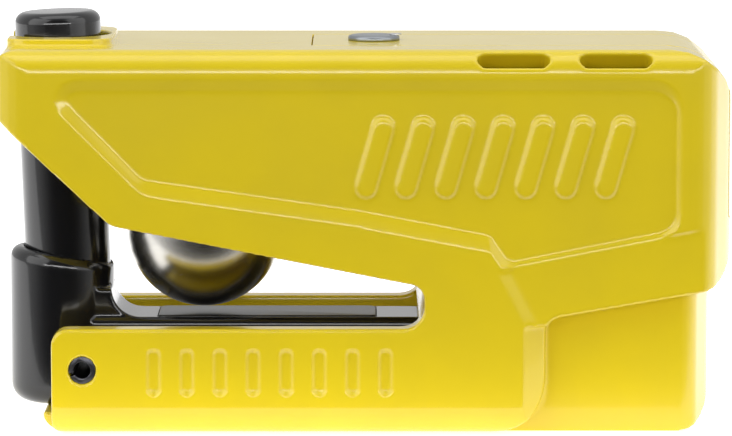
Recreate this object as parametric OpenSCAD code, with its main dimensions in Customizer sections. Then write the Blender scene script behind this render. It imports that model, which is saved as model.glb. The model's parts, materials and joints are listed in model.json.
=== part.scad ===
// Disc brake lock with an alarm: a C-shaped steel body, a push-down bolt, a sprung
// feeler ball in the mouth and an alarm module in the right-hand end.
// X runs from the mouth to the alarm end, Y is the depth and Z is up, in millimetres.
// The origin is the middle of the underside.

/* [Body] */
// Overall length
body_l = 135; // [134:0.5:136]
// Height of the body's top face
body_h = 70; // [69.5:0.25:70.5]
// Half depth of the flat front and rear faces
face_y = 24; // [23.8:0.1:24.2]
// Depth of the recessed side panels
panel_depth = 0.9; // [0.6:0.1:1]
// Half depth of the recessed lower right block
block_y = 18.5; // [18:0.25:19]
// Inner half width of the channel in the lower arm
channel_y = 19; // [18.5:0.25:19.25]
// Thickness of the channel's floor
floor_t = 2.9; // [2.5:0.1:3.2]
// Top of the lower arm's flanges
flange_top = 19.5; // [19:0.25:20]

/* [Bolt] */
// Radius of the coated bolt
bolt_r = 7.9; // [7.7:0.05:8]
// Lean of the bolt towards the mouth, in degrees
bolt_lean = 2; // [1.5:0.25:2.25]
// Travel of the bolt from locked to open
bolt_travel = 14; // [12:0.5:14.5]
// Where the bolt's axis crosses the reference height
bolt_x = -55; // [-55.2:0.1:-54.8]
// Outside radius of the guide sleeve
sleeve_r = 9.6; // [9.5:0.05:9.7]

/* [Lower bar] */
// Radius of the round boss that receives the bolt
boss_r = 9.65; // [9.6:0.05:9.8]
// Height of the boss's top
boss_top = 30.4; // [29.5:0.1:31]
// Half width of the bar in the channel
bar_y = 8; // [7.5:0.25:8.25]
// Top of the bar
bar_top = 19.3; // [19:0.1:19.4]

/* [Feeler ball] */
// Radius of the ball
ball_r = 14.35; // [14.2:0.05:14.4]
// Height of the ball's centre at rest
ball_z = 34.9; // [34.7:0.1:35.2]
// Travel of the ball
ball_travel = 12; // [11:0.25:12]

/* [Key cylinder] */
// Distance of the cylinder's axis from the middle
key_x = 1.9; // [1.7:0.1:2.1]
// Radius of the cylinder's housing
housing_r = 8; // [7.9:0.05:8.1]
// Radius of the turning plug
plug_r = 6; // [5.9:0.05:6]
// Travel of the locking slide in a quarter turn of the key
slide_travel = 3.2; // [3:0.1:3.3]

/* [Alarm module] */
// Half width of the cover strip
cover_y = 11.5; // [11.4:0.1:11.6]
// Thickness of the cover
cover_t = 3; // [2.8:0.1:3.1]
// Radius of a battery
battery_r = 5.25; // [5.1:0.05:5.3]
// Length of a battery without its nub
battery_l = 43.7; // [43:0.1:44]

/* [Hidden] */
$fn = 72;

yellow = [0.84, 0.76, 0.11];
black = [0.12, 0.12, 0.13];
steel = [0.72, 0.72, 0.74];
grey = [0.45, 0.46, 0.48];
brass = [0.78, 0.62, 0.30];

fit = 0.05;
loose = 0.2;
seam = 0.1;
past = 1;
arc_steps = 6;
half_l = body_l / 2;

body_corner = 12;
// Side outlines: each point is x, z and the radius of its corner.
c_outline = [
    [-half_l, body_h, 5], [half_l, body_h, body_corner], [half_l, 27.2, 7], [33, 21.2, 3], [33, 0, 10],
    [-56.6, 0, 2], [-56.6, flange_top, 3], [11.2, flange_top, 4], [10.9, 27.2, 2.7],
    [-45.7, 38.3, 4], [-half_l, 58.8, 6]
];
panel_outline = [
    [-56, 62.8, 3], [56.8, 62.8, 4], [56.8, 37, 4], [26.4, 31, 2], [22.7, 36, 3], [0, 40.4, 0],
    [-40.3, 46.2, 3]
];
strip_outline = [
    [26.4, 31.4, 0], [24.8, 33.6, 1], [32.4, 20.2, 0], [half_l + past, 20.2, 0], [half_l + past, 39.2, 0]
];
strip_depth = 0.5;
block_outline = [[22, 0, 0], [63.6, 0, 6], [63.6, 31, 3], [22, 31, 0]];
// Plan outlines: x, y and corner radius.
body_plan = [
    [-half_l, -face_y, 7], [half_l - 4.7, -face_y, 5], [half_l, -10, 30],
    [half_l, 10, 30], [half_l - 4.7, face_y, 5], [-half_l, face_y, 7]
];
block_plan = [
    [20, -block_y, 0], [60, -block_y, 4], [63.6, -7, 20],
    [63.6, 7, 20], [60, block_y, 4], [20, block_y, 0]
];
// End outline of the body: y, z and corner radius.
body_section = [[-face_y, 0, 5], [face_y, 0, 5], [face_y, body_h, 4], [-face_y, body_h, 4]];
// Raised pad round the bolt's hole.
pad_x = [-65, -46];
pad_y = 14.6;
pad_corner = 4;
pad_h = 1.3;

// Bolt: heights along its own axis are counted from this height.
bolt_ref_z = 33;
bolt_foot = -10;
bolt_head = 42.8;
bolt_edge = 1.5;
notch_floor = 5.9;
notch_h = 4.2;
notch_mid = 28.26;
keyway_floor = 6;
sleeve_low = 24.5;
sleeve_high = 36;
stop_h = 33;
stop_r = 1.5;
socket_r = bolt_r + loose;
socket_foot = bolt_foot - 2 * loose;

boss_x = -55.9;
channel_end = 11;
bar_end = 18;
cross_pin_x = -51;
cross_pin_z = 12;
cross_pin_r = 2.5;
cross_pin_wall = 1;
cross_pin_sink = 0.4;
cross_pin_slit = 45;
rest_pad_x = [-38, 2.3];
rest_pad_y = 6.4;
rest_pad_z = [18.1, 19.5];
rest_pad_corner = 1.5;
bar_screw_x = 8;
bar_screw_r = 2;
bar_screw_top = 12;
bar_screw_sink = 0.3;
screw_head_r = 3.8;
screw_head_h = 2.3;
hex_r = 1.4;
hex_depth = 1.6;

ball_x = -29.5;
chamber_r = ball_r + 0.1;
chamber_low = 30;
chamber_top = 62;
post_r = 3;
post_head_r = 4.9;
post_foot = 41.5;
post_head_t = 2;
flange_r = 6.9;
flange_z = [64, 66];
ball_bore_r = 5.2;
ball_bore_foot = 28.9;
retainer_z = [43.7, 47.9];
spring_r = 4.3;
spring_wire_r = 0.45;
spring_turns = 5;
spring_steps = 16;
spring_sides = 8;

slide_z = [60, 63];
slide_tip = -46.7;
tongue_y = 5;
plate_y = 9;
plate_x = [-42, -6.4];
window_x = [-35.9, -20];
window_y = 6.4;
riser_x = -9.3;
riser_y = 6;
foot_z = [37, 40];
foot_end = 7.5;
foot_gap = 0.5;
cam_pin_r = 1.4;
cam_clear = 0.15;
// Centre of the cam pin at rest.
cam_at = [key_x + slide_travel / 2, slide_travel / 2];
cam_slot_y = [-0.3, 4];
cam_pin_z = [37.1, 45.8];

housing_z = [42, 66.9];
plug_foot = 43.6;
plug_top = 66.7;
tail_r = 4.2;
tail_foot = 40.4;
disc_r = 4.95;
disc_t = 1.5;
disc_pitch = 2.3;
disc_count = 8;
disc_low = 46.2;
disc_twist = 15;
plug_floor = 46;
plug_face_t = 1.9;
key_slot = [5.6, 1.8];
keyhole_r = 2.9;
shutter_r = 4.75;
shutter_z = [70.05, 70.9];
shutter_pivot = 4;
rivet_r = 0.6;
rivet_head_r = 1.1;
rivet_top = 71.15;

bay_x = [28, 60];
bay_floor = 4;
duct_x = [20, 54];
duct_y = 20.5;
duct_z = [62.5, 66.4];
slot_x = [27, 45.4];
slot_l = 13;
slot_h = 2.9;
slot_tilt = 45;
slot_at = [-21.4, 66.9];
mesh_t = 0.5;
mesh_y = duct_y - mesh_t / 2 - fit;
cover_x = -9.4;
cover_leg = 38.5;
cover_bend = 9;
leg_x = half_l - cover_t - 0.2;
end_window_z = [42, 55];
cover_screw_z = 60;
cover_screw_r = 1.5;
cover_screw_x = [55, 66.6];
cover_head_x = 64.7;
cover_head_r = 2.3;
gasket_w = 1.5;
gasket_x = [28.1, 54.8];
gasket_z = [65.6, 67];
battery_x = 48;
battery_pitch = 10.8;
battery_foot = 5.5;
nub_r = 1.9;
nub_h = 0.8;
holder_x = [36.4, 59.6];
holder_y = 11.3;
holder_z = [4.1, 30];
contact_z = [50.05, 50.5];
contact_inset = 2;
contact_w = 6;
board_x = [33.4, 35];
board_y = 11;
board_z = [4.3, 52.6];
chips = [[12, -3, 8], [26, 2, 6], [40, -4, 5], [47, 4, 4]];
chip_t = 1.6;
siren_x = 43;
siren_r = 10.9;
siren_z = [53, 60.5];
siren_lip = 1.2;
switch_x = [12, 20];
switch_y = 4;
switch_z = [61.2, 66];

function box_plan(xs, half_y, r) = [
    [xs[0], -half_y, r], [xs[1], -half_y, r], [xs[1], half_y, r], [xs[0], half_y, r]
];
function xy(p) = [p[0], p[1]];
function unit(v) = v / norm(v);

// Points of the arc that rounds corner p between its neighbours a and b.
function corner_arc(a, p, b, r) =
    let (
        u = unit(a - p), v = unit(b - p), half = acos(u * v) / 2,
        middle = p + unit(u + v) * r / sin(half),
        start = p + u * r / tan(half) - middle,
        stop = p + v * r / tan(half) - middle,
        from = atan2(start[1], start[0]),
        sweep = (atan2(stop[1], stop[0]) - from + 540) % 360 - 180
    )
    [for (i = [0:arc_steps])
        let (turn = from + sweep * i / arc_steps)
        middle + r * [cos(turn), sin(turn)]];

// An outline whose corners are rounded by each point's third number.
function rounded(pts) =
    let (n = len(pts))
    [for (i = [0:n - 1]) each pts[i][2] > 0
        ? corner_arc(xy(pts[(i + n - 1) % n]), xy(pts[i]), xy(pts[(i + 1) % n]), pts[i][2])
        : [xy(pts[i])]];

// Side outline of the cover strip or, grown past the outside, of its seat.
function cover_outline(gap, grow, corner) = [
    [cover_x + gap, body_h - cover_t, 0], [cover_x + gap, body_h + grow, 0],
    [half_l + grow, body_h + grow, corner], [half_l + grow, cover_leg + gap, 0],
    [leg_x, cover_leg + gap, 0], [leg_x, body_h - cover_t, cover_bend]
];

module side_solid(outline, half_y) {
    rotate([90, 0, 0])
        translate([0, 0, -half_y])
            linear_extrude(2 * half_y)
                polygon(rounded(outline));
}

module plan_solid(outline, low, high) {
    translate([0, 0, low])
        linear_extrude(high - low)
            polygon(rounded(outline));
}

module end_solid(outline) {
    translate([-half_l - past, 0, 0])
        rotate([90, 0, 90])
            linear_extrude(body_l + 2 * past)
                polygon(rounded(outline));
}

// A box centred on y = 0, given by its two x values, half width and two z values.
module slab(xs, half_y, zs) {
    translate([xs[0], -half_y, zs[0]])
        cube([xs[1] - xs[0], 2 * half_y, zs[1] - zs[0]]);
}

// A round bar along Z, and one along Y.
module post_at(x, r, zs) {
    translate([x, 0, zs[0]])
        cylinder(r = r, h = zs[1] - zs[0]);
}

module cross_bar(x, z, r, ys) {
    translate([x, ys[0], z])
        rotate([-90, 0, 0])
            cylinder(r = r, h = ys[1] - ys[0]);
}

module on_bolt_axis() {
    translate([bolt_x, 0, bolt_ref_z])
        rotate([0, -bolt_lean, 0])
            children();
}

// A slot with round ends that runs along X, cut square to the body's rounded top edge.
module sound_slot(x, side) {
    translate([x, side * slot_at[0], slot_at[1]])
        rotate([side * slot_tilt, 0, 0])
            translate([0, 0, -past * 3]) {
                translate([-(slot_l - slot_h) / 2, -slot_h / 2, 0])
                    cube([slot_l - slot_h, slot_h, past * 8]);
                for (end = [-1, 1])
                    translate([end * (slot_l - slot_h) / 2, 0, 0])
                        cylinder(d = slot_h, h = past * 8);
            }
}

module body_mass() {
    intersection() {
        side_solid(c_outline, face_y);
        plan_solid(body_plan, -past, body_h + past);
        end_solid(body_section);
    }
    intersection() {
        side_solid(block_outline, block_y);
        plan_solid(block_plan, -past, body_h);
    }
    plan_solid(box_plan(pad_x, pad_y, pad_corner), body_h - past, body_h + pad_h);
}

// A shallow recess in the front and rear faces.
module side_recess(outline, depth) {
    for (side = [-1, 1])
        translate([0, side * (face_y - depth + past), 0])
            side_solid(outline, past);
}

// The space of the bolt, its sleeve and the stop pin.
module bolt_space() {
    on_bolt_axis() {
        translate([0, 0, past * 5])
            cylinder(r = bolt_r + loose, h = bolt_head);
        translate([0, 0, sleeve_low])
            cylinder(r = sleeve_r, h = bolt_head);
        translate([0, keyway_floor, stop_h])
            rotate([-90, 0, 0])
                cylinder(r = stop_r, h = face_y);
    }
}

// The space of the feeler ball and of its post's flange.
module feeler_space() {
    post_at(ball_x, chamber_r, [chamber_low, chamber_top]);
    post_at(ball_x, flange_r, [chamber_top - past, flange_z[1]]);
}

// The space of the locking slide.
module slide_space() {
    slab([slide_tip - slide_travel - past, plate_x[1] + past], plate_y + loose,
        [slide_z[0] - loose / 2, slide_z[1] + loose / 2]);
    slab([riser_x - slide_travel - loose, plate_x[1] + foot_gap], riser_y + loose,
        [foot_z[0] - loose, slide_z[1]]);
    slab([riser_x - slide_travel - loose, foot_end + foot_gap], riser_y + loose,
        [foot_z[0] - loose, housing_z[0] + fit]);
}

// The bay of the alarm module, its sound duct, the cable way and the cover's seat.
module alarm_space() {
    slab(bay_x, cover_y, [bay_floor, body_h]);
    slab(duct_x, duct_y, duct_z);
    slab([key_x, bay_x[0] + past], switch_y + loose, [switch_z[0] - loose, body_h]);
    slab([bay_x[1] - past, half_l + past], cover_y - past, end_window_z);
    side_solid(cover_outline(0, past, 0), cover_y);
    for (x = slot_x, side = [-1, 1])
        sound_slot(x, side);
}

// The channel of the lower arm, with the bar's seat and its pin and screw holes.
module channel_space() {
    slab([-half_l, channel_end], channel_y, [floor_t, flange_top + past]);
    slab([0, bar_end], bar_y, [floor_t, bar_top]);
    cross_bar(cross_pin_x, cross_pin_z, cross_pin_r, [-face_y, face_y]);
    post_at(bar_screw_x, bar_screw_r, [-past, bar_screw_top]);
    translate([bar_screw_x, 0, -fit])
        cylinder(r1 = screw_head_r, r2 = bar_screw_r, h = floor_t - loose);
}

module lock_body() {
    color(yellow)
        difference() {
            body_mass();
            side_recess(panel_outline, panel_depth);
            side_recess(strip_outline, strip_depth);
            bolt_space();
            feeler_space();
            slide_space();
            post_at(key_x, housing_r, [housing_z[0], body_h]);
            alarm_space();
            channel_space();
            translate([bay_x[0], 0, cover_screw_z])
                rotate([0, 90, 0])
                    cylinder(r = cover_screw_r, h = half_l - bay_x[0]);
        }
}

// The cover strip runs along the top and down the end.
module alarm_cover() {
    color(yellow)
        difference() {
            intersection() {
                side_solid(cover_outline(seam, 0, body_corner), cover_y - seam);
                plan_solid(body_plan, -past, body_h + past);
            }
            post_at(key_x, keyhole_r, [body_h - cover_t - past, body_h + past]);
            post_at(key_x + shutter_pivot, rivet_r, [body_h - cover_t - past, body_h + past]);
            translate([bay_x[0], 0, cover_screw_z])
                rotate([0, 90, 0])
                    cylinder(r = cover_screw_r, h = half_l);
            translate([cover_head_x, 0, cover_screw_z])
                rotate([0, 90, 0])
                    cylinder(r = cover_head_r, h = half_l);
        }
}

module cover_gasket() {
    color(black)
        difference() {
            slab(gasket_x, cover_y - seam, gasket_z);
            slab([gasket_x[0] + gasket_w, gasket_x[1] - gasket_w], cover_y - seam - gasket_w,
                [gasket_z[0] - past, gasket_z[1] + past]);
        }
}

module cover_screw() {
    color(steel)
        difference() {
            union() {
                translate([cover_screw_x[0], 0, cover_screw_z])
                    rotate([0, 90, 0])
                        cylinder(r = cover_screw_r, h = cover_screw_x[1] - cover_screw_x[0] - past);
                translate([cover_head_x, 0, cover_screw_z])
                    rotate([0, 90, 0])
                        cylinder(r = cover_head_r, h = cover_screw_x[1] - cover_head_x);
            }
            translate([cover_screw_x[1] - past, 0, cover_screw_z])
                rotate([0, 90, 0])
                    cylinder(r = hex_r, h = past * 2, $fn = 6);
        }
}

module bolt() {
    color(black)
        on_bolt_axis()
            difference() {
                rotate_extrude()
                    polygon(rounded([[0, bolt_foot, 0], [bolt_r, bolt_foot, bolt_edge],
                        [bolt_r, bolt_head, bolt_edge], [0, bolt_head, 0]]));
                for (drop = [0, bolt_travel])
                    translate([notch_floor, -bolt_r, notch_mid - notch_h / 2 - drop])
                        cube([bolt_r, 2 * bolt_r, notch_h]);
                translate([-stop_r - seam, keyway_floor, stop_h - bolt_travel - stop_r - seam])
                    cube([2 * stop_r + loose, bolt_r, bolt_travel + 2 * stop_r + loose]);
            }
}

module bolt_guide_sleeve() {
    color(grey)
        on_bolt_axis()
            difference() {
                translate([0, 0, sleeve_low])
                    cylinder(r = sleeve_r, h = sleeve_high - sleeve_low);
                translate([0, 0, sleeve_low - past])
                    cylinder(r = bolt_r + fit, h = sleeve_high);
                translate([0, -tongue_y - loose, notch_mid - notch_h / 2])
                    cube([2 * sleeve_r, 2 * (tongue_y + loose), notch_h]);
                translate([0, 0, stop_h])
                    rotate([-90, 0, 0])
                        cylinder(r = stop_r, h = face_y);
            }
}

module bolt_stop_pin() {
    color(steel)
        on_bolt_axis()
            translate([0, keyway_floor + loose, stop_h])
                rotate([-90, 0, 0])
                    cylinder(r = stop_r, h = face_y - keyway_floor - 2 * loose);
}

module disc_rest_bar() {
    color(black)
        difference() {
            union() {
                post_at(boss_x, boss_r, [floor_t, boss_top]);
                slab([boss_x, bar_end], bar_y, [floor_t, bar_top]);
            }
            on_bolt_axis()
                translate([0, 0, socket_foot])
                    cylinder(r = socket_r, h = boss_top);
            cross_bar(cross_pin_x, cross_pin_z, cross_pin_r, [-face_y, face_y]);
            slab(rest_pad_x, rest_pad_y, [rest_pad_z[0], body_h]);
            post_at(bar_screw_x, bar_screw_r, [0, bar_screw_top]);
        }
}

module rest_pad() {
    color(black)
        plan_solid(box_plan([rest_pad_x[0] + fit, rest_pad_x[1] - fit], rest_pad_y - fit, rest_pad_corner),
            rest_pad_z[0], rest_pad_z[1]);
}

module roll_pin() {
    color(grey)
        difference() {
            cross_bar(cross_pin_x, cross_pin_z, cross_pin_r,
                [cross_pin_sink - face_y, face_y - cross_pin_sink]);
            cross_bar(cross_pin_x, cross_pin_z, cross_pin_r - cross_pin_wall, [-face_y, face_y]);
            translate([cross_pin_x, -face_y, cross_pin_z])
                rotate([0, cross_pin_slit, 0])
                    translate([-2 * cross_pin_r, 0, -cross_pin_wall / 4])
                        cube([2 * cross_pin_r, 2 * face_y, cross_pin_wall / 2]);
        }
}

module bar_screw() {
    color(steel)
        difference() {
            union() {
                post_at(bar_screw_x, bar_screw_r, [past, bar_screw_top]);
                translate([bar_screw_x, 0, bar_screw_sink])
                    cylinder(r1 = screw_head_r - bar_screw_sink, r2 = bar_screw_r, h = screw_head_h);
            }
            translate([bar_screw_x, 0, 0])
                cylinder(r = hex_r, h = hex_depth, $fn = 6);
        }
}

module feeler_ball() {
    color(steel)
        difference() {
            translate([ball_x, 0, ball_z])
                sphere(r = ball_r);
            post_at(ball_x, ball_bore_r, [ball_bore_foot, ball_z + ball_r + past]);
        }
}

module feeler_post() {
    color(grey) {
        post_at(ball_x, post_head_r, [post_foot, post_foot + post_head_t]);
        post_at(ball_x, post_r, [post_foot, flange_z[1]]);
        post_at(ball_x, flange_r, flange_z);
    }
}

module feeler_retainer() {
    color(brass)
        difference() {
            post_at(ball_x, ball_bore_r, retainer_z);
            post_at(ball_x, post_r + seam, [retainer_z[0] - past, retainer_z[1] + past]);
        }
}

// Point of the spring's wire at fraction t of its length and angle a round the wire.
function spring_point(t, a) =
    let (
        low = retainer_z[1] + spring_wire_r + fit,
        high = flange_z[0] - spring_wire_r - fit,
        turn = 360 * spring_turns * t,
        reach = spring_r + spring_wire_r * cos(a)
    )
    [ball_x + reach * cos(turn), reach * sin(turn), low + (high - low) * t + spring_wire_r * sin(a)];

module feeler_spring() {
    rings = spring_turns * spring_steps;
    skin = [for (i = [0:rings - 1], k = [0:spring_sides - 1])
        let (a = i * spring_sides + k, b = i * spring_sides + (k + 1) % spring_sides)
        each [[a, a + spring_sides, b + spring_sides], [a, b + spring_sides, b]]];
    ends = [
        [for (k = [0:spring_sides - 1]) k],
        [for (k = [0:spring_sides - 1]) rings * spring_sides + spring_sides - 1 - k]
    ];
    color(steel)
        polyhedron(
            points = [for (i = [0:rings], k = [0:spring_sides - 1])
                spring_point(i / rings, 360 * k / spring_sides)],
            faces = concat(skin, ends));
}

module cylinder_housing() {
    color(brass)
        difference() {
            post_at(key_x, housing_r, housing_z);
            post_at(key_x, plug_r + fit, [plug_foot - fit, body_h]);
            post_at(key_x, tail_r + fit, [housing_z[0] - past, body_h]);
        }
}

module key_slot_cut(zs) {
    translate([key_x - key_slot[0] / 2, -key_slot[1] / 2, zs[0]])
        cube([key_slot[0], key_slot[1], zs[1] - zs[0]]);
}

module cam_pin_hole(r, zs) {
    translate([cam_at[0], cam_at[1], zs[0]])
        cylinder(r = r, h = zs[1] - zs[0]);
}

module cylinder_plug() {
    color(brass)
        difference() {
            union() {
                post_at(key_x, plug_r, [plug_foot, plug_top]);
                post_at(key_x, tail_r, [tail_foot, plug_foot + past]);
            }
            post_at(key_x, disc_r + fit, [plug_floor, plug_top - plug_face_t]);
            key_slot_cut([plug_floor, body_h]);
            cam_pin_hole(cam_pin_r, [tail_foot - past, plug_floor]);
        }
}

module detainer_discs() {
    color(steel)
        for (i = [0:disc_count - 1])
            let (low = disc_low + i * disc_pitch)
            difference() {
                post_at(key_x, disc_r, [low, low + disc_t]);
                translate([key_x, 0, 0])
                    rotate([0, 0, disc_twist * (i % 3 - 1)])
                        translate([-key_x, 0, 0])
                            key_slot_cut([low - past, low + disc_t + past]);
            }
}

module cam_pin() {
    color(steel)
        cam_pin_hole(cam_pin_r, cam_pin_z);
}

module keyway_shutter() {
    color(grey)
        difference() {
            post_at(key_x, shutter_r, shutter_z);
            post_at(key_x + shutter_pivot, rivet_r + fit, [body_h - past, rivet_top]);
        }
}

module shutter_rivet() {
    color(steel) {
        post_at(key_x + shutter_pivot, rivet_r, [body_h - cover_t, rivet_top]);
        post_at(key_x + shutter_pivot, rivet_head_r, [shutter_z[1] + fit, rivet_top]);
    }
}

module locking_slide() {
    color(steel)
        difference() {
            union() {
                slab([slide_tip, plate_x[0] + past], tongue_y, slide_z);
                slab(plate_x, plate_y, slide_z);
                slab([riser_x, plate_x[1]], riser_y, [foot_z[0], slide_z[1]]);
                slab([riser_x, foot_end], riser_y, foot_z);
            }
            slab(window_x, window_y, [slide_z[0] - past, slide_z[1] + past]);
            translate([cam_at[0] - cam_pin_r - cam_clear, cam_slot_y[0], foot_z[0] - past])
                cube([2 * (cam_pin_r + cam_clear), cam_slot_y[1] - cam_slot_y[0], past * 6]);
        }
}

module battery_round(i, r, zs) {
    translate([battery_x + (i % 2 - 0.5) * battery_pitch, (floor(i / 2) - 0.5) * battery_pitch, zs[0]])
        cylinder(r = r, h = zs[1] - zs[0]);
}

module battery(i) {
    color(grey) {
        battery_round(i, battery_r, [battery_foot, battery_foot + battery_l]);
        battery_round(i, nub_r, [battery_foot + battery_l - past, battery_foot + battery_l + nub_h]);
    }
}

module battery_holder() {
    color(black)
        difference() {
            slab(holder_x, holder_y, holder_z);
            for (i = [0:3])
                battery_round(i, battery_r + seam, [battery_foot, body_h]);
        }
}

module battery_contacts() {
    color(steel)
        for (side = [-1, 1])
            translate([holder_x[0] + contact_inset, side * battery_pitch / 2 - contact_w / 2, contact_z[0]])
                cube([holder_x[1] - holder_x[0] - 2 * contact_inset, contact_w,
                    contact_z[1] - contact_z[0]]);
}

module circuit_board() {
    color("seagreen")
        slab(board_x, board_y, board_z);
    color(black)
        for (chip = chips)
            translate([board_x[0] - chip_t, chip[1] - chip[2] / 2, chip[0]])
                cube([chip_t + seam, chip[2], chip[2]]);
}

module siren() {
    color(black)
        difference() {
            post_at(siren_x, siren_r, siren_z);
            post_at(siren_x, siren_r - siren_lip, [siren_z[1] - siren_lip, body_h]);
        }
    color(brass)
        post_at(siren_x, siren_r - 2 * siren_lip, [siren_z[0] + past, siren_z[1] - siren_lip / 2]);
}

module sound_mesh() {
    color(black)
        for (x = slot_x, side = [-1, 1])
            translate([x - slot_l / 2 - loose, side * mesh_y - mesh_t / 2, duct_z[0] + fit])
                cube([slot_l + 2 * loose, mesh_t, duct_z[1] - duct_z[0] - 2 * fit]);
}

module arming_switch() {
    color(black)
        slab(switch_x, switch_y, switch_z);
}

lock_body();
alarm_cover();
cover_gasket();
cover_screw();
bolt();
bolt_guide_sleeve();
bolt_stop_pin();
disc_rest_bar();
rest_pad();
roll_pin();
bar_screw();
feeler_ball();
feeler_post();
feeler_retainer();
feeler_spring();
cylinder_housing();
cylinder_plug();
detainer_discs();
cam_pin();
keyway_shutter();
shutter_rivet();
locking_slide();
battery_holder();
battery(0);  // battery_1
battery(1);  // battery_2
battery(2);  // battery_3
battery(3);  // battery_4
battery_contacts();
circuit_board();
siren();
sound_mesh();
arming_switch();
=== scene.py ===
"""Disc brake lock: the painted body, its black bolt and bar, the ball and the small parts."""
import json
import math
from contextlib import contextmanager

import bmesh
import bpy
from bpy.props import FloatProperty, FloatVectorProperty, IntProperty, PointerProperty
from mathutils import Matrix, Vector


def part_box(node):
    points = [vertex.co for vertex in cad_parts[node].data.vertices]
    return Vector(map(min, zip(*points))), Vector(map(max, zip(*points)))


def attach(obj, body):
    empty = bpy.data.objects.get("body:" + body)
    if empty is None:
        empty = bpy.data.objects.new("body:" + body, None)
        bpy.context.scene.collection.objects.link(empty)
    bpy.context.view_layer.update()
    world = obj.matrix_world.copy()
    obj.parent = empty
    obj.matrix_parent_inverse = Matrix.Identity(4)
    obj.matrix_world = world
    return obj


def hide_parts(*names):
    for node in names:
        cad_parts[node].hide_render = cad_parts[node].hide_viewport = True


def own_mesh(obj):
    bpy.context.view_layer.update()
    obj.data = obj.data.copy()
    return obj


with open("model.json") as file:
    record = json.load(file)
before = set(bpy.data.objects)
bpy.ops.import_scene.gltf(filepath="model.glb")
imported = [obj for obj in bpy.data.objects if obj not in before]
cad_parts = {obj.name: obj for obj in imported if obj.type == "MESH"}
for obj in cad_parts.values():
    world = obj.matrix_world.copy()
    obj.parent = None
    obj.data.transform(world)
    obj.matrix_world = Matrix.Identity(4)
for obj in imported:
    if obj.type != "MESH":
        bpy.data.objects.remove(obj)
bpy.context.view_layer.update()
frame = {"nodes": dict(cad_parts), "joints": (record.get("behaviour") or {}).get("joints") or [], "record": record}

bl_info = {
    "name": "Disc Brake Lock",
    "version": (1, 0, 0),
    "blender": (4, 5, 0),
    "location": "View3D > Sidebar > Disc Lock",
    "description": "Builds the painted body, bolt, bar and ball of a disc brake lock around its frame",
    "category": "Object",
}

MM = 0.001

# The main sizes come from the frame, in millimetres.
BODY_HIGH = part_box("lock_body")[1] / MM
BAR_LOW, BAR_HIGH = (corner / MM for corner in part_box("disc_rest_bar"))
BALL_LOW, BALL_HIGH = (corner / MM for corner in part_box("feeler_ball"))
PIN_LOW, PIN_HIGH = (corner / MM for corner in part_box("roll_pin"))
PAD_LOW, PAD_HIGH = (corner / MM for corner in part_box("rest_pad"))
SHUTTER_LOW, SHUTTER_HIGH = (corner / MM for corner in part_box("keyway_shutter"))
MESH_LOW, MESH_HIGH = (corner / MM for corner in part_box("sound_mesh"))

RIGHT = BODY_HIGH.x
FACE = BODY_HIGH.y
BLOCK_FACE = 18.5
FLOOR_TOP = BAR_LOW.z
BOLT_AXIS = next(Vector(j["axis"]) for j in frame["joints"] if j["name"] == "bolt_slide")
BOLT_FOOT = Vector((-55, 0, 33))
SLOT_X = (27.1, 45.6)
BOLT_RADIUS = 7.9
BOLT_TRAVEL = next(j["range_m"][1] / MM for j in frame["joints"] if j["name"] == "bolt_slide")
NOTCH_MIDDLE, NOTCH_HALF = 28.26, 2.1
PIN_X, PIN_Z = -51, 12
BAR_HALF, BAR_TOP = 8, 19.3


# ---------------------------------------------------------------- modelling tools

def activate(obj):
    """Makes obj the only selected object."""
    bpy.ops.object.select_all(action="DESELECT")
    obj.select_set(True)
    bpy.context.view_layer.objects.active = obj


@contextmanager
def editing(obj):
    """Edit mode on obj, with everything selected."""
    activate(obj)
    bpy.ops.object.mode_set(mode="EDIT")
    bpy.ops.mesh.select_mode(type="EDGE")
    bpy.ops.mesh.select_all(action="SELECT")
    yield
    bpy.ops.object.mode_set(mode="OBJECT")


def settle(name):
    """Names the new primitive and leaves its place in its mesh."""
    obj = bpy.context.active_object
    obj.name = name
    obj.data.name = name
    activate(obj)
    bpy.ops.object.transform_apply(location=True, rotation=True, scale=True)
    return obj


def add_block(name, low, high):
    """A box between two corners, in millimetres."""
    low, high = Vector(low), Vector(high)
    bpy.ops.mesh.primitive_cube_add(size=1, location=(low + high) / 2 * MM, scale=(high - low) * MM)
    return settle(name)


def add_drum(name, radius, start, end, sides=96):
    """A cylinder between two points, in millimetres."""
    start, end = Vector(start), Vector(end)
    turn = (end - start).to_track_quat("Z", "Y").to_euler()
    bpy.ops.mesh.primitive_cylinder_add(vertices=sides, radius=radius * MM, depth=(end - start).length * MM,
                                        location=(start + end) / 2 * MM, rotation=turn)
    return settle(name)


def add_ball(name, radius, centre, segments=96):
    """A sphere, in millimetres."""
    bpy.ops.mesh.primitive_uv_sphere_add(segments=segments, ring_count=segments // 2, radius=radius * MM,
                                         location=Vector(centre) * MM)
    return settle(name)


def round_edges(obj, width, wanted, segments=8):
    """Bevels the edges whose two ends, in millimetres, satisfy wanted."""
    with editing(obj):
        mesh = bmesh.from_edit_mesh(obj.data)
        bpy.ops.mesh.select_all(action="DESELECT")
        for edge in mesh.edges:
            if wanted(edge.verts[0].co / MM, edge.verts[1].co / MM):
                edge.select_set(True)
        bmesh.update_edit_mesh(obj.data)
        bpy.ops.mesh.bevel(offset=width * MM, offset_type="OFFSET", segments=segments, profile=0.5,
                           affect="EDGES", clamp_overlap=True)


def corner_width(before, corner, after, radius):
    """How far from a corner its arc of that radius starts."""
    u = (Vector(before[:2]) - Vector(corner[:2])).normalized()
    v = (Vector(after[:2]) - Vector(corner[:2])).normalized()
    return radius / math.tan(u.angle(v) / 2)


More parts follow.
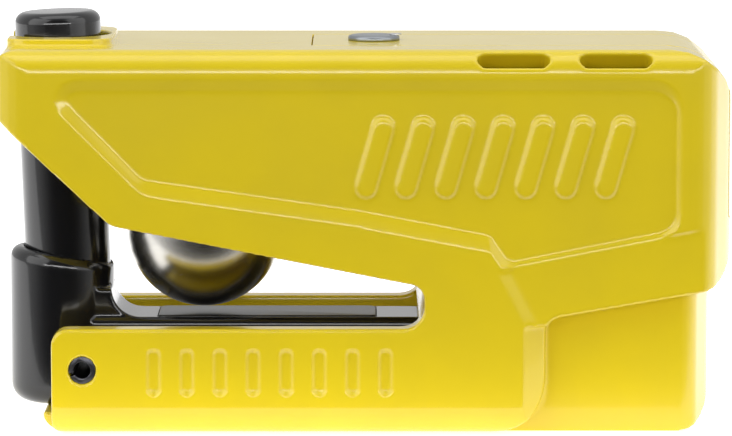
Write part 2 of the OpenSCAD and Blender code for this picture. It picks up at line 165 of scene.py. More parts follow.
def combine(obj, other, operation):
    """Joins, cuts or intersects obj with another solid, which is used up."""
    activate(obj)
    bpy.ops.object.modifier_add(type="BOOLEAN")
    change = obj.modifiers[-1]
    change.operation = operation
    change.solver = "EXACT"
    change.object = other
    bpy.ops.object.modifier_apply(modifier=change.name)
    bpy.data.objects.remove(other, do_unlink=True)


def cut(obj, *others):
    for other in others:
        combine(obj, other, "DIFFERENCE")


def join(obj, *others):
    for other in others:
        combine(obj, other, "UNION")


def apply_modifier(obj, kind, **values):
    """Adds a modifier with these values and applies it."""
    activate(obj)
    bpy.ops.object.modifier_add(type=kind)
    change = obj.modifiers[-1]
    for key, value in values.items():
        setattr(change, key, value)
    bpy.ops.object.modifier_apply(modifier=change.name)


def soften(obj, voxel, passes, keep):
    """Gives a cast and coated piece its soft edges."""
    apply_modifier(obj, "REMESH", mode="VOXEL", voxel_size=voxel * MM)
    apply_modifier(obj, "SMOOTH", factor=0.5, iterations=passes)
    apply_modifier(obj, "DECIMATE", ratio=keep)
    activate(obj)
    bpy.ops.object.shade_smooth()


def crisp(obj, width, segments=3, angle=30):
    """Small machined edges on a piece with flat faces."""
    apply_modifier(obj, "BEVEL", width=width * MM, segments=segments, limit_method="ANGLE",
                   angle_limit=math.radians(angle), harden_normals=False)
    activate(obj)
    bpy.ops.object.shade_smooth_by_angle(angle=math.radians(angle))


def finish_piece(obj, body, slot, material, *nodes):
    """The piece rides on its body, takes its finish and stands for its CAD nodes."""
    obj.data.materials.clear()
    obj.data.materials.append(material)
    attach(obj, body)
    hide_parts(*nodes)


# ---------------------------------------------------------------- materials

def group_tree(name, inputs, outputs):
    """A new shader node group with its sockets, or None if it is already there."""
    if name in bpy.data.node_groups:
        return None
    tree = bpy.data.node_groups.new(name, "ShaderNodeTree")
    for label, kind, value in inputs:
        made = tree.interface.new_socket(label, in_out="INPUT", socket_type=kind)
        made.default_value = value
    for label, kind in outputs:
        tree.interface.new_socket(label, in_out="OUTPUT", socket_type=kind)
    return tree


def node(tree, kind, **values):
    made = tree.nodes.new(kind)
    for key, value in values.items():
        setattr(made, key, value)
    return made


def peel_group():
    """Height of a sprayed coat: long soft waves with a finer grain on them."""
    tree = group_tree("coat_peel", [("Wave Scale", "NodeSocketFloat", 400.0),
                                  ("Grain Scale", "NodeSocketFloat", 2500.0),
                                    ("Grain Share", "NodeSocketFloat", 0.2)], [("Height", "NodeSocketFloat")])
    if tree:
        start, end = node(tree, "NodeGroupInput"), node(tree, "NodeGroupOutput")
        place = node(tree, "ShaderNodeTexCoord")
        wave = node(tree, "ShaderNodeTexNoise")
        grain = node(tree, "ShaderNodeTexNoise")
        blend = node(tree, "ShaderNodeMix", data_type="FLOAT")
        wave.inputs["Detail"].default_value = 1.0
        grain.inputs["Detail"].default_value = 2.0
        for texture, scale in ((wave, "Wave Scale"), (grain, "Grain Scale")):
            tree.links.new(place.outputs["Object"], texture.inputs["Vector"])
            tree.links.new(start.outputs[scale], texture.inputs["Scale"])
        tree.links.new(start.outputs["Grain Share"], blend.inputs["Factor"])
        tree.links.new(wave.outputs["Fac"], blend.inputs["A"])
        tree.links.new(grain.outputs["Fac"], blend.inputs["B"])
        tree.links.new(blend.outputs["Result"], end.inputs["Height"])
    return bpy.data.node_groups["coat_peel"]


def drift_group():
    """A colour that drifts a little between two tones, and a mask of the same drift."""
    tree = group_tree("tone_drift", [("Tone A", "NodeSocketColor", (1, 1, 1, 1)),
                                   ("Tone B", "NodeSocketColor", (0, 0, 0, 1)),
                                     ("Scale", "NodeSocketFloat", 60.0)],
                      [("Color", "NodeSocketColor"), ("Mask", "NodeSocketFloat")])
    if tree:
        start, end = node(tree, "NodeGroupInput"), node(tree, "NodeGroupOutput")
        place = node(tree, "ShaderNodeTexCoord")
        cloud = node(tree, "ShaderNodeTexNoise")
        cloud.inputs["Detail"].default_value = 4.0
        spread = node(tree, "ShaderNodeMapRange")
        spread.inputs["From Min"].default_value = 0.3
        spread.inputs["From Max"].default_value = 0.7
        blend = node(tree, "ShaderNodeMix", data_type="RGBA")
        tree.links.new(place.outputs["Object"], cloud.inputs["Vector"])
        tree.links.new(start.outputs["Scale"], cloud.inputs["Scale"])
        tree.links.new(cloud.outputs["Fac"], spread.inputs["Value"])
        tree.links.new(spread.outputs["Result"], blend.inputs["Factor"])
        tree.links.new(start.outputs["Tone A"], blend.inputs["A"])
        tree.links.new(start.outputs["Tone B"], blend.inputs["B"])
        tree.links.new(blend.outputs["Result"], end.inputs["Color"])
        tree.links.new(spread.outputs["Result"], end.inputs["Mask"])
    return bpy.data.node_groups["tone_drift"]


def rub_group():
    """Fine lines of a rubbed or turned surface, stretched along one axis."""
    tree = group_tree("rub_lines", [("Stretch", "NodeSocketVector", (1.0, 1.0, 12.0)),
                                  ("Scale", "NodeSocketFloat", 500.0)],
                      [("Lines", "NodeSocketFloat")])
    if tree:
        start, end = node(tree, "NodeGroupInput"), node(tree, "NodeGroupOutput")
        place = node(tree, "ShaderNodeTexCoord")
        pull = node(tree, "ShaderNodeMapping")
        lines = node(tree, "ShaderNodeTexNoise")
        lines.inputs["Detail"].default_value = 5.0
        lines.inputs["Roughness"].default_value = 0.65
        tree.links.new(place.outputs["Object"], pull.inputs["Vector"])
        tree.links.new(start.outputs["Stretch"], pull.inputs["Scale"])
        tree.links.new(pull.outputs["Vector"], lines.inputs["Vector"])
        tree.links.new(start.outputs["Scale"], lines.inputs["Scale"])
        tree.links.new(lines.outputs["Fac"], end.inputs["Lines"])
    return bpy.data.node_groups["rub_lines"]


def new_material(name):
    """A material with its shader, and a function that places a node group in it."""
    made = bpy.data.materials.new(name)
    made.use_nodes = True
    tree = made.node_tree
    shader = next(n for n in tree.nodes if n.type == "BSDF_PRINCIPLED")

    def place(group, **values):
        used = node(tree, "ShaderNodeGroup", node_tree=group)
        for key, value in values.items():
            used.inputs[key.replace("_", " ")].default_value = value
        return used

    return made, tree, shader, place


def spread(tree, value, low, high):
    """Maps a 0 to 1 value to a range."""
    ranged = node(tree, "ShaderNodeMapRange")
    ranged.inputs["To Min"].default_value = low
    ranged.inputs["To Max"].default_value = high
    tree.links.new(value, ranged.inputs["Value"])
    return ranged.outputs["Result"]


def add_bump(tree, shader, height, depth, strength=1.0):
    """Feeds a height, in metres of depth, to the shader's normal."""
    bump = node(tree, "ShaderNodeBump")
    bump.inputs["Strength"].default_value = strength
    bump.inputs["Distance"].default_value = depth
    tree.links.new(height, bump.inputs["Height"])
    tree.links.new(bump.outputs["Normal"], shader.inputs["Normal"])


def rgba(colour, factor=1.0):
    return tuple(min(1.0, c * factor) for c in colour[:3]) + (1.0,)


def paint_material(name, colour, roughness, coat, peel_depth, drift=0.04):
    """A thick sprayed coat with a soft peel and a slight drift of tone."""
    made, tree, shader, place = new_material(name)
    tone = place(drift_group(), Tone_A=rgba(colour, 1 + drift), Tone_B=rgba(colour, 1 - drift), Scale=45.0)
    peel = place(peel_group(), Wave_Scale=420.0, Grain_Scale=2600.0, Grain_Share=0.18)
    tree.links.new(tone.outputs["Color"], shader.inputs["Base Color"])
    varied = spread(tree, tone.outputs["Mask"], roughness * 0.9, roughness * 1.15)
    tree.links.new(varied, shader.inputs["Roughness"])
    shader.inputs["Coat Weight"].default_value = coat
    shader.inputs["Coat Roughness"].default_value = 0.06
    shader.inputs["Coat IOR"].default_value = 1.5
    add_bump(tree, shader, peel.outputs["Height"], peel_depth)
    return made


def metal_material(name, colour, roughness, stretch, lines_depth, line_scale=500.0):
    """Bare metal with fine rubbed lines and a drift of tone."""
    made, tree, shader, place = new_material(name)
    tone = place(drift_group(), Tone_A=rgba(colour, 1.08), Tone_B=rgba(colour, 0.9), Scale=110.0)
    lines = place(rub_group(), Stretch=stretch, Scale=line_scale)
    tree.links.new(tone.outputs["Color"], shader.inputs["Base Color"])
    varied = spread(tree, lines.outputs["Lines"], roughness * 0.75, roughness * 1.3)
    tree.links.new(varied, shader.inputs["Roughness"])
    shader.inputs["Metallic"].default_value = 1.0
    add_bump(tree, shader, lines.outputs["Lines"], lines_depth)
    return made


def soft_material(name, colour, roughness, grain_depth):
    """Moulded plastic or rubber with a fine grain."""
    made, tree, shader, place = new_material(name)
    tone = place(drift_group(), Tone_A=rgba(colour, 1.15), Tone_B=rgba(colour, 0.85), Scale=200.0)
    grain = place(peel_group(), Wave_Scale=1500.0, Grain_Scale=4000.0, Grain_Share=0.5)
    tree.links.new(tone.outputs["Color"], shader.inputs["Base Color"])
    varied = spread(tree, grain.outputs["Height"], roughness * 0.85, roughness * 1.15)
    tree.links.new(varied, shader.inputs["Roughness"])
    add_bump(tree, shader, grain.outputs["Height"], grain_depth)
    return made


def finish_for(slot):
    """The material of a slot of the record, made once."""
    name = "lock_" + slot
    if name in bpy.data.materials:
        return bpy.data.materials[name]
    colours = bpy.context.scene.lock_colours
    makers = {
        "yellow_paint": lambda: paint_material(name, colours.paint, 0.22, 0.4, 0.00001),
        "black_coating": lambda: paint_material(name, colours.coating, 0.16, 0.4, 0.000008, 0.15),
        "black_pad": lambda: soft_material(name, colours.pad, 0.3, 0.00001),
        "satin_steel": lambda: metal_material(name, colours.ball, 0.24, (1.0, 1.0, 6.0), 0.000003),
        "dark_steel": lambda: metal_material(name, (0.09, 0.09, 0.10), 0.3, (1.0, 1.0, 8.0), 0.000004),
        "zinc_steel": lambda: metal_material(name, (0.62, 0.63, 0.65), 0.3, (1.0, 12.0, 1.0), 0.000004),
        "spring_steel": lambda: metal_material(name, (0.45, 0.45, 0.46), 0.22, (1.0, 1.0, 1.0), 0.000002),
        "brass_part": lambda: metal_material(name, (0.76, 0.56, 0.24), 0.25, (1.0, 1.0, 14.0), 0.000004),
        "grey_shutter": lambda: metal_material(name, colours.shutter, 0.34, (10.0, 1.0, 1.0), 0.000004),
        "seal_rubber": lambda: soft_material(name, (0.02, 0.02, 0.02), 0.7, 0.00002),
        "black_plastic": lambda: soft_material(name, (0.025, 0.025, 0.028), 0.5, 0.00002),
        "battery_can": lambda: paint_material(name, (0.10, 0.11, 0.13), 0.35, 0.3, 0.000004),
        "board_green": lambda: soft_material(name, (0.02, 0.16, 0.07), 0.4, 0.00001),
    }
    return makers[slot]()


# ---------------------------------------------------------------- shapes of the body

def shell_of(name, node):
    """A copy of a CAD node's mesh, joined up and ready to be worked on."""
    source = frame["nodes"][node]
    obj = bpy.data.objects.new(name, source.data.copy())
    obj.data.name = name
    bpy.context.scene.collection.objects.link(obj)
    obj.matrix_world = source.matrix_world
    activate(obj)
    bpy.ops.object.transform_apply(location=True, rotation=True, scale=True)
    with editing(obj):
        bpy.ops.mesh.remove_doubles(threshold=1e-6)
        bpy.ops.mesh.normals_make_consistent(inside=False)
    return obj


def eased(corners, steps=5):
    """Turns each corner that has a radius as its fourth number into a few points of an arc."""
    points = []
    for before, here, after in zip(corners[-1:] + corners[:-1], corners, corners[1:] + corners[:1]):
        if len(here) < 4:
            points.append(here)
            continue
        place = Vector(here[:2])
        width = corner_width(before, here, after, here[3])
        start = place + (Vector(before[:2]) - place).normalized() * width
        stop = place + (Vector(after[:2]) - place).normalized() * width
        for i in range(steps + 1):
            t = i / steps
            point = start * (1 - t) ** 2 + place * 2 * t * (1 - t) + stop * t ** 2
            points.append((point.x, point.y, before[2] * (1 - t) + here[2] * t))
    return points


def sloped_pocket(name, corners, floor, mouth, side):
    """A shallow pocket in the front or rear face. Corners are x, z and how far the wall slopes out."""
    corners = eased(corners)
    firsts = [c[0] for c in corners]
    seconds = [c[1] for c in corners]
    reach = max(c[2] for c in corners) + 1
    outside = mouth + 1
    obj = add_block(name, (min(firsts) - reach, min(side * floor, side * outside), min(seconds) - reach),
                    (max(firsts) + reach, max(side * floor, side * outside), max(seconds) + reach))
    with editing(obj):
        for here, after in zip(corners, corners[1:] + corners[:1]):
            run = (Vector(after[:2]) - Vector(here[:2])).normalized()
            lean = here[2] / (mouth - floor)
            bpy.ops.mesh.select_all(action="SELECT")
            bpy.ops.mesh.bisect(plane_co=Vector((here[0], side * floor, here[1])) * MM,
                                plane_no=Vector((run.y, -side * lean, -run.x)).normalized(),
                                use_fill=True, clear_outer=True, threshold=1e-7)
    return obj


def side_relief(obj, relief):
    """Gives the shallow panels in both faces, and the lower strip, their sloped walls."""
    floor = FACE - relief
    upper = [(-55.4, 62.6, 2.2, 2.2), (-39.8, 46.9, 3, 2.5), (0.4, 41.2, 0), (0.4, 62.6, 2.4)]
    middle = [(-0.4, 41.32, 3.2), (22.8, 36.9, 0), (22.8, 62.6, 2.4), (-0.4, 62.6, 0)]
    lower = [(22.4, 37.2, 1.5), (26.2, 31.6, 1.1, 1.5), (55.4, 37.3, 2, 4), (55.4, 62.6, 2.4, 4),
             (22.4, 62.6, 0)]
    strip = [(26.4, 30.6, 2.4), (32, 20, 0), (RIGHT + 3, 20, 0), (RIGHT + 3, 38.7, 0)]
    for side in (-1, 1):
        for corners in (upper, middle, lower):
            cut(obj, sloped_pocket("panel", corners, floor, FACE, side))
        cut(obj, sloped_pocket("strip", strip, FACE - relief * 0.6, FACE, side))


def grip_bar(x, z, width, height, low, high, side, lean):
    """One soft grip rib that stands in a face."""
    depth = high - low
    bpy.ops.mesh.primitive_cube_add(size=1, location=Vector((x, side * (low + depth / 2), z)) * MM,
                                    scale=Vector((width, depth, height)) * MM, rotation=(0, lean, 0))
    obj = bpy.context.active_object
    bpy.ops.object.transform_apply(location=False, rotation=False, scale=True)
    round_edges(obj, width * 0.48, lambda p, q: abs((q - p).normalized().y) > 0.99, 6)
    return settle("rib")


def grip_ribs(obj, relief, rib_count):
    """Slanted ribs on the housing, and plain short grooves in the lower arm."""
    floor = FACE - relief
    for side in (-1, 1):
        for i in range(rib_count):
            crest = floor + relief * 0.72
            join(obj, grip_bar(2 + i * 7.2, 50.6, 3.4, 14.5, floor - 1, crest, side, math.radians(16)))
        for i in range(8):
            cut(obj, grip_bar(-38 + i * 6, 11.7, 2.6, 8.6, FACE - relief * 0.65, FACE + 1, side, 0))


def bolt_line(height):
    """The point of the bolt's axis at a distance above its reference point."""
    return BOLT_FOOT + BOLT_AXIS * height


def web_slope(side):
    """What is cut from the web's right-hand edge so that it slopes down to the recessed block."""
    start, end = Vector((28.8, side * FACE, 0)), Vector((36.4, side * BLOCK_FACE, 0))
    near, far = sorted((side * BLOCK_FACE, side * 26))
    obj = add_block("web_slope", (28, near, -1), (40, far, 20))
    run = end - start
    outwards = Vector((side * run.y, -side * run.x, 0)).normalized()
    with editing(obj):
        bpy.ops.mesh.bisect(plane_co=start * MM, plane_no=outwards, use_fill=True, clear_outer=True,
                            threshold=1e-7)
    return obj


def make_body(sizes, material):
    obj = shell_of("body_casting", "lock_body")
    cut(obj, web_slope(-1), web_slope(1))
    side_relief(obj, sizes.relief)
    grip_ribs(obj, sizes.relief, sizes.rib_count)
    nose = add_drum("nose", 3.2, (-55.5, -15.5, 2.9), (-55.5, 15.5, 2.9), 48)
    cut(nose, add_block("nose_top", (-70, -30, FLOOR_TOP), (-40, 30, 10)))
    join(obj, nose)
    soften(obj, sizes.voxel, sizes.passes, sizes.keep)
    finish_piece(obj, "frame", "yellow_paint", material, "lock_body")


def make_cover(material):
    obj = shell_of("cover_strip", "alarm_cover")
    with editing(obj):
        bpy.ops.mesh.dissolve_limited(angle_limit=math.radians(0.5))
    crisp(obj, 0.35, 3, 35)
    apply_modifier(obj, "WEIGHTED_NORMAL", keep_sharp=True)
    finish_piece(obj, "frame", "yellow_paint", material, "alarm_cover")


# ---------------------------------------------------------------- black parts, ball and small parts

def make_bolt(material):
    """The bolt, with its domed head, two notches and the stop pin's keyway."""
    head, foot, radius = 42.4, -10, BOLT_RADIUS
    obj = add_drum("bolt_pin", radius, bolt_line(foot), bolt_line(head), 128)
    top = bolt_line(head)
    bottom = bolt_line(foot)

    def on_rim(centre):
        return lambda p, q: all(abs((e - centre).length - radius) < 0.05 for e in (p, q))

    round_edges(obj, 2.0, on_rim(top), 10)
    round_edges(obj, 1.2, on_rim(bottom), 4)
    for drop in (0, BOLT_TRAVEL):
        middle = NOTCH_MIDDLE - drop
        notch = add_block("notch", (5.9, -9, middle - NOTCH_HALF), (12, 9, middle + NOTCH_HALF))
        tilt_to_bolt(notch)
        cut(obj, notch)
    keyway = add_block("keyway", (-1.6, 6, 17.4), (1.6, 12, 34.6))
    tilt_to_bolt(keyway)
    cut(obj, keyway)
    activate(obj)
    bpy.ops.object.shade_smooth_by_angle(angle=math.radians(30))
    finish_piece(obj, "bolt", "black_coating", material, "bolt")


def tilt_to_bolt(obj):
    """Moves a solid from the bolt's own upright axis to its place."""
    lean = math.atan2(-BOLT_AXIS.x, BOLT_AXIS.z)
    obj.matrix_world = Matrix.Translation(BOLT_FOOT * MM) @ Matrix.Rotation(-lean, 4, "Y")
    activate(obj)
    bpy.ops.object.transform_apply(location=True, rotation=True, scale=True)


def make_bar(sizes, material):
    """The boss that receives the bolt, and the bar that runs from it into the web."""
    boss_x, boss_r = -55.9, 9.65
    obj = add_drum("boss_and_bar", boss_r, (boss_x, 0, FLOOR_TOP), (boss_x, 0, BAR_HIGH.z + 4), 96)
    crown = Vector((boss_x, 0, BAR_HIGH.z + 0.7))
    lean = Vector((0.12, 0, 1)).normalized()
    with editing(obj):
        bpy.ops.mesh.bisect(plane_co=crown * MM, plane_no=lean, use_fill=True, clear_outer=True,
                            threshold=1e-7)
    round_edges(obj, 2.4, lambda p, q: all(abs((e - crown).dot(lean)) < 0.02 for e in (p, q)), 6)
    round_edges(obj, 3.4, lambda p, q: max(p.z, q.z) < FLOOR_TOP + 0.05, 6)
    bar = add_block("bar", (boss_x, -BAR_HALF, FLOOR_TOP), (BAR_HIGH.x, BAR_HALF, BAR_TOP))
    round_edges(bar, 1.3, lambda p, q: abs((q - p).normalized().x) > 0.99 and min(p.z, q.z) > 19, 5)
    flare = 5.2
    neck = add_block("neck", (boss_x, -7.2, 17), (boss_x + boss_r + flare, 7.2, BAR_TOP + flare))
    centre = Vector((boss_x + boss_r - 0.2 + flare, 0, BAR_TOP + flare))
    cut(neck, add_drum("neck_sweep", flare, centre - Vector((0, 12, 0)), centre + Vector((0, 12, 0)), 96))
    join(obj, bar, neck)
    cut(obj, add_drum("socket", 8.1, bolt_line(-10.4), bolt_line(20)),
        add_drum("pin_hole", 2.5, (PIN_X, -12, PIN_Z), (PIN_X, 12, PIN_Z)))
    gap = 0.05
    pocket = add_block("pocket", (PAD_LOW.x - gap, PAD_LOW.y - gap, PAD_LOW.z),
                       (PAD_HIGH.x + gap, PAD_HIGH.y + gap, 30))
    cut(obj, pocket)
    soften(obj, sizes.fine_voxel, 3, 0.6)
    finish_piece(obj, "frame", "black_coating", material, "disc_rest_bar")


def make_pad(material):
    """The hard pad let into the bar."""
    obj = add_block("hard_pad", PAD_LOW, PAD_HIGH)
    round_edges(obj, 1.5, lambda p, q: abs((q - p).normalized().z) > 0.99, 6)
    crisp(obj, 0.3, 3, 40)
    finish_piece(obj, "frame", "black_pad", material, "rest_pad")


def make_roll_pin(material):
    """A slit tube with broken edges."""
    obj = add_drum("slit_pin", 2.46, (PIN_X, PIN_LOW.y, PIN_Z), (PIN_X, PIN_HIGH.y, PIN_Z), 64)
    cut(obj, add_drum("bore", 1.55, (PIN_X, -FACE - 1, PIN_Z), (PIN_X, FACE + 1, PIN_Z), 48))
    bpy.ops.mesh.primitive_cube_add(size=1, location=Vector((-53, 0, 11.2)) * MM,
                                    scale=Vector((4, 60, 0.7)) * MM, rotation=(0, -math.radians(22), 0))
    cut(obj, settle("slit"))
    crisp(obj, 0.18, 2, 40)
    finish_piece(obj, "frame", "dark_steel", material, "roll_pin")


def make_ball(material):
    """The satin ball, bored from the top for its post."""
    centre = (BALL_LOW + BALL_HIGH) / 2
    radius = (BALL_HIGH.x - BALL_LOW.x) / 2
    middle = (centre.x, 0, BALL_LOW.z + radius)
    obj = add_ball("satin_ball", radius, middle)
    cut(obj, add_drum("bore", 5.2, (centre.x, 0, 28.9), (centre.x, 0, 60), 64))
    activate(obj)
    bpy.ops.object.shade_smooth_by_angle(angle=math.radians(30))
    finish_piece(obj, "feeler", "satin_steel", material, "feeler_ball")


def make_spring(material):
    """The ball's spring, copied from its CAD node; it rides on the frame."""
    obj = shell_of("ball_spring", "feeler_spring")
    activate(obj)
    bpy.ops.object.shade_smooth()
    finish_piece(obj, "frame", "spring_steel", material, "feeler_spring")
    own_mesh(obj)


def make_shutter(material):
    """The round key cover, domed a little and pierced for its rivet."""
    middle = (SHUTTER_LOW + SHUTTER_HIGH) / 2
    radius = (SHUTTER_HIGH.x - SHUTTER_LOW.x) / 2
    obj = add_drum("key_cover", radius, (middle.x, 0, SHUTTER_LOW.z), (middle.x, 0, SHUTTER_HIGH.z), 96)
    round_edges(obj, 0.5, lambda p, q: min(p.z, q.z) > SHUTTER_HIGH.z - 0.02, 5)
    cut(obj, add_drum("rivet_hole", 0.65, (middle.x + 4, 0, 69), (middle.x + 4, 0, 73), 32))
    crisp(obj, 0.05, 1, 50)
    finish_piece(obj, "shutter", "grey_shutter", material, "keyway_shutter")


def make_grilles(material):
    """Woven grilles behind the sound slots, as upright wires with a few wires across them."""
    first = None
    for x in SLOT_X:
        for side in (-1, 1):
            y = side * (MESH_HIGH.y - 0.25)
            for i in range(9):
                bar_x = x - 6.4 + i * 1.6
                bar = add_drum("wire", 0.22, (bar_x, y, MESH_LOW.z), (bar_x, y, MESH_HIGH.z), 10)
                first = keep_with(first, bar)
            for i in range(3):
                z = MESH_LOW.z + 0.5 + i * 1.4
                first = keep_with(first, add_drum("wire", 0.22, (x - 6.7, y, z), (x + 6.7, y, z), 10))
    first.name = "sound_grilles"
    activate(first)
    bpy.ops.object.shade_smooth_by_angle(angle=math.radians(40))
    finish_piece(first, "frame", "black_plastic", material, "sound_mesh")


def keep_with(first, other):
    """Adds other to first as loose parts of one piece."""
    if first is None:
        return other
    bpy.ops.object.select_all(action="DESELECT")
    other.select_set(True)
    first.select_set(True)
    bpy.context.view_layer.objects.active = first
    bpy.ops.object.join()
    return first


def finish_inner_parts():
    """Every CAD node that still shows takes its slot's finish."""
    slots = {part["node"]: part["material_slot"] for part in frame["record"]["subparts"]}
    for name, obj in frame["nodes"].items():
        obj.data.materials.clear()
        obj.data.materials.append(finish_for(slots[name]))


# ---------------------------------------------------------------- stage

def area_light(name, place, aim, size, power, colour=(1, 1, 1)):
    light = bpy.data.lights.new(name, "AREA")
    light.shape = "RECTANGLE"
    light.size, light.size_y = size
    light.energy = power
    light.color = colour
    obj = bpy.data.objects.new(name, light)
    bpy.context.scene.collection.objects.link(obj)
    obj.location = place
    obj.rotation_euler = (Vector(aim) - Vector(place)).to_track_quat("-Z", "Y").to_euler()


def make_world(stage):
    """White surroundings that are dimmer on the camera's side."""
    world = bpy.data.worlds.new("studio")
    bpy.context.scene.world = world
    world.use_nodes = True
    tree = world.node_tree
    shade = next(n for n in tree.nodes if n.type == "BACKGROUND")
    shade.inputs["Color"].default_value = (1, 1, 1, 1)
    place = node(tree, "ShaderNodeTexCoord")
    split = node(tree, "ShaderNodeSeparateXYZ")
    ranged = node(tree, "ShaderNodeMapRange", interpolation_type="SMOOTHSTEP")
    ranged.inputs["From Min"].default_value = -0.95
    ranged.inputs["From Max"].default_value = -0.25
    ranged.inputs["To Min"].default_value = stage.front_dim
    ranged.inputs["To Max"].default_value = stage.surround
    path = node(tree, "ShaderNodeLightPath")
    seen = node(tree, "ShaderNodeMix", data_type="FLOAT")
    seen.inputs["B"].default_value = 1.0
    tree.links.new(place.outputs["Generated"], split.inputs["Vector"])
    tree.links.new(split.outputs["Y"], ranged.inputs["Value"])
    tree.links.new(path.outputs["Is Camera Ray"], seen.inputs["Factor"])
    tree.links.new(ranged.outputs["Result"], seen.inputs["A"])
    tree.links.new(seen.outputs["Result"], shade.inputs["Strength"])


def make_floor():
    bpy.ops.mesh.primitive_plane_add(size=1, location=(0, 1.955, -0.0002))
    bpy.context.active_object.scale = (6, 4, 1)
    floor = settle("floor")
    made, tree, shader, place = new_material("pale_floor")
    tone = place(drift_group(), Tone_A=(0.93, 0.93, 0.93, 1), Tone_B=(0.9, 0.9, 0.9, 1), Scale=8.0)
    tree.links.new(tone.outputs["Color"], shader.inputs["Base Color"])
    tree.links.new(tone.outputs["Color"], shader.inputs["Emission Color"])
    shader.inputs["Emission Strength"].default_value = 0.8
    shader.inputs["Roughness"].default_value = 0.9
    shader.inputs["Specular IOR Level"].default_value = 0.1
    floor.data.materials.append(made)


def make_camera(stage):
    camera = bpy.data.cameras.new("view")
    camera.sensor_width = 36
    camera.lens = stage.lens
    camera.clip_end = 20
    obj = bpy.data.objects.new("view", camera)
    bpy.context.scene.collection.objects.link(obj)
    place = Vector(stage.camera_place) * MM
    aim = Vector(stage.camera_aim) * MM
    obj.location = place
    obj.rotation_euler = (aim - place).to_track_quat("-Z", "Y").to_euler()
    bpy.context.scene.camera = obj


# ---------------------------------------------------------------- the add-on's own classes

class LockSizes(bpy.types.PropertyGroup):
    """Sizes that a user may change."""
    relief: FloatProperty(name="Relief", description="Depth of the side panels, in millimetres", default=0.9)
    rib_count: IntProperty(name="Ribs", description="Grip ribs on each side", default=7)
    voxel: FloatProperty(name="Detail", description="Size of the body's finest detail, in millimetres",
                         default=0.4)
    fine_voxel: FloatProperty(name="Bar Detail", description="Finest detail of the bar, in millimetres",
                              default=0.35)
    passes: IntProperty(name="Softness", description="Smoothing passes over the body's edges", default=2)
    keep: FloatProperty(name="Keep", description="Share of the body's faces that is kept", default=0.3,
                        subtype="FACTOR")


class LockColours(bpy.types.PropertyGroup):
    """Colours that a user may change."""
    paint: FloatVectorProperty(name="Paint", description="Body paint", subtype="COLOR",
                               default=(0.72, 0.55, 0.012))
    coating: FloatVectorProperty(name="Coating", description="Bolt and bar", subtype="COLOR",
                                 default=(0.006, 0.006, 0.007))
    pad: FloatVectorProperty(name="Pad", description="Pad on the bar", subtype="COLOR",
                             default=(0.012, 0.012, 0.013))
    ball: FloatVectorProperty(name="Ball", description="Ball", subtype="COLOR", default=(0.62, 0.60, 0.56))
    shutter: FloatVectorProperty(name="Key Cover", description="Key cover", subtype="COLOR",
                                 default=(0.3, 0.32, 0.34))


class LockStage(bpy.types.PropertyGroup):
    """The camera and the light."""
    camera_place: FloatVectorProperty(name="Camera", description="Place of the camera, in millimetres",
                                      default=(0.45, -836, 144))
    camera_aim: FloatVectorProperty(name="Aim", description="Point the camera looks at, in millimetres",
                                    default=(0.45, 0, 36.8))
    lens: FloatProperty(name="Lens", description="Focal length, in millimetres", default=223.4)
    surround: FloatProperty(name="Surround", description="Light of the white surroundings", default=0.7)
    front_dim: FloatProperty(name="Front", description="Light from the camera's side", default=0.02)


class LockPiece:
    """What the lock's operators share."""
    bl_options = {"REGISTER", "UNDO"}


class LOCK_OT_stage(LockPiece, bpy.types.Operator):
    """Adds the floor, the light and the camera"""
    bl_idname = "lock.make_stage"
    bl_label = "Stage"

    def execute(self, context):
        stage = context.scene.lock_stage
        make_camera(stage)
        make_floor()
        make_world(stage)
        area_light("left_softbox", (-0.95, -0.6, 0.6), (0, 0, 0.03), (1.2, 1.2), 6)
        area_light("right_softbox", (0.95, -0.6, 0.6), (0, 0, 0.03), (1.2, 1.2), 4.4)
        area_light("top_softbox", (0, -0.15, 1.0), (0, 0, 0.03), (1.2, 0.6), 3)
        area_light("front_strip", (0, -1.05, 0.23), (0, 0, 0.05), (1.6, 0.1), 4.4)
        context.scene.view_settings.view_transform = "Standard"
        return {"FINISHED"}


class LOCK_OT_body(LockPiece, bpy.types.Operator):
    """Makes the painted body"""
    bl_idname = "lock.make_body"
    bl_label = "Body"

    def execute(self, context):
        make_body(context.scene.lock_sizes, finish_for("yellow_paint"))
        return {"FINISHED"}


class LOCK_OT_cover(LockPiece, bpy.types.Operator):
    """Makes the inset cover strip"""
    bl_idname = "lock.make_cover"
    bl_label = "Cover"

    def execute(self, context):
        make_cover(finish_for("yellow_paint"))
        return {"FINISHED"}


class LOCK_OT_bolt(LockPiece, bpy.types.Operator):
    """Makes the push-down bolt"""
    bl_idname = "lock.make_bolt"
    bl_label = "Bolt"

    def execute(self, context):
        make_bolt(finish_for("black_coating"))
        return {"FINISHED"}


class LOCK_OT_bar(LockPiece, bpy.types.Operator):
    """Makes the boss and bar, its pad and the slit pin"""
    bl_idname = "lock.make_bar"
    bl_label = "Boss and Bar"

    def execute(self, context):
        make_bar(context.scene.lock_sizes, finish_for("black_coating"))
        make_pad(finish_for("black_pad"))
        make_roll_pin(finish_for("dark_steel"))
        return {"FINISHED"}


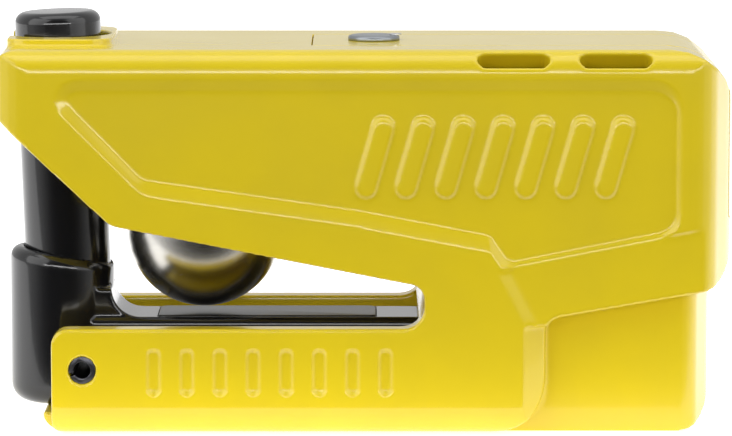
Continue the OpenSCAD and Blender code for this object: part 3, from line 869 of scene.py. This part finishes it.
class LOCK_OT_ball(LockPiece, bpy.types.Operator):
    """Makes the satin ball and its spring"""
    bl_idname = "lock.make_ball"
    bl_label = "Ball and Spring"

    def execute(self, context):
        make_ball(finish_for("satin_steel"))
        make_spring(finish_for("spring_steel"))
        return {"FINISHED"}


class LOCK_OT_trim(LockPiece, bpy.types.Operator):
    """Makes the key cover and the sound grilles"""
    bl_idname = "lock.make_trim"
    bl_label = "Key Cover and Grilles"

    def execute(self, context):
        make_shutter(finish_for("grey_shutter"))
        make_grilles(finish_for("black_plastic"))
        return {"FINISHED"}


class LOCK_OT_inner(LockPiece, bpy.types.Operator):
    """Gives the parts inside their finishes"""
    bl_idname = "lock.finish_inner"
    bl_label = "Inner Parts"

    def execute(self, context):
        finish_inner_parts()
        return {"FINISHED"}


STEPS = (LOCK_OT_stage, LOCK_OT_body, LOCK_OT_cover, LOCK_OT_bolt, LOCK_OT_bar, LOCK_OT_ball, LOCK_OT_trim,
         LOCK_OT_inner)


class LOCK_PT_panel(bpy.types.Panel):
    """Lists the lock's pieces"""
    bl_idname = "LOCK_PT_panel"
    bl_label = "Disc Brake Lock"
    bl_space_type = "VIEW_3D"
    bl_region_type = "UI"
    bl_category = "Disc Lock"

    def draw(self, context):
        for group in (context.scene.lock_sizes, context.scene.lock_colours, context.scene.lock_stage):
            for key in group.__annotations__:
                self.layout.prop(group, key)
        for step in STEPS:
            self.layout.operator(step.bl_idname)


CLASSES = (LockSizes, LockColours, LockStage) + STEPS + (LOCK_PT_panel,)
POINTERS = {"lock_sizes": LockSizes, "lock_colours": LockColours, "lock_stage": LockStage}


def register():
    for one in CLASSES:
        bpy.utils.register_class(one)
    for name, kind in POINTERS.items():
        setattr(bpy.types.Scene, name, PointerProperty(type=kind))


def unregister():
    for name in POINTERS:
        delattr(bpy.types.Scene, name)
    for one in reversed(CLASSES):
        bpy.utils.unregister_class(one)


def main():
    register()
    bpy.ops.object.select_all(action="DESELECT")
    for step in STEPS:
        family, action = step.bl_idname.split(".")
        getattr(getattr(bpy.ops, family), action)()


if __name__ == "__main__":
    main()
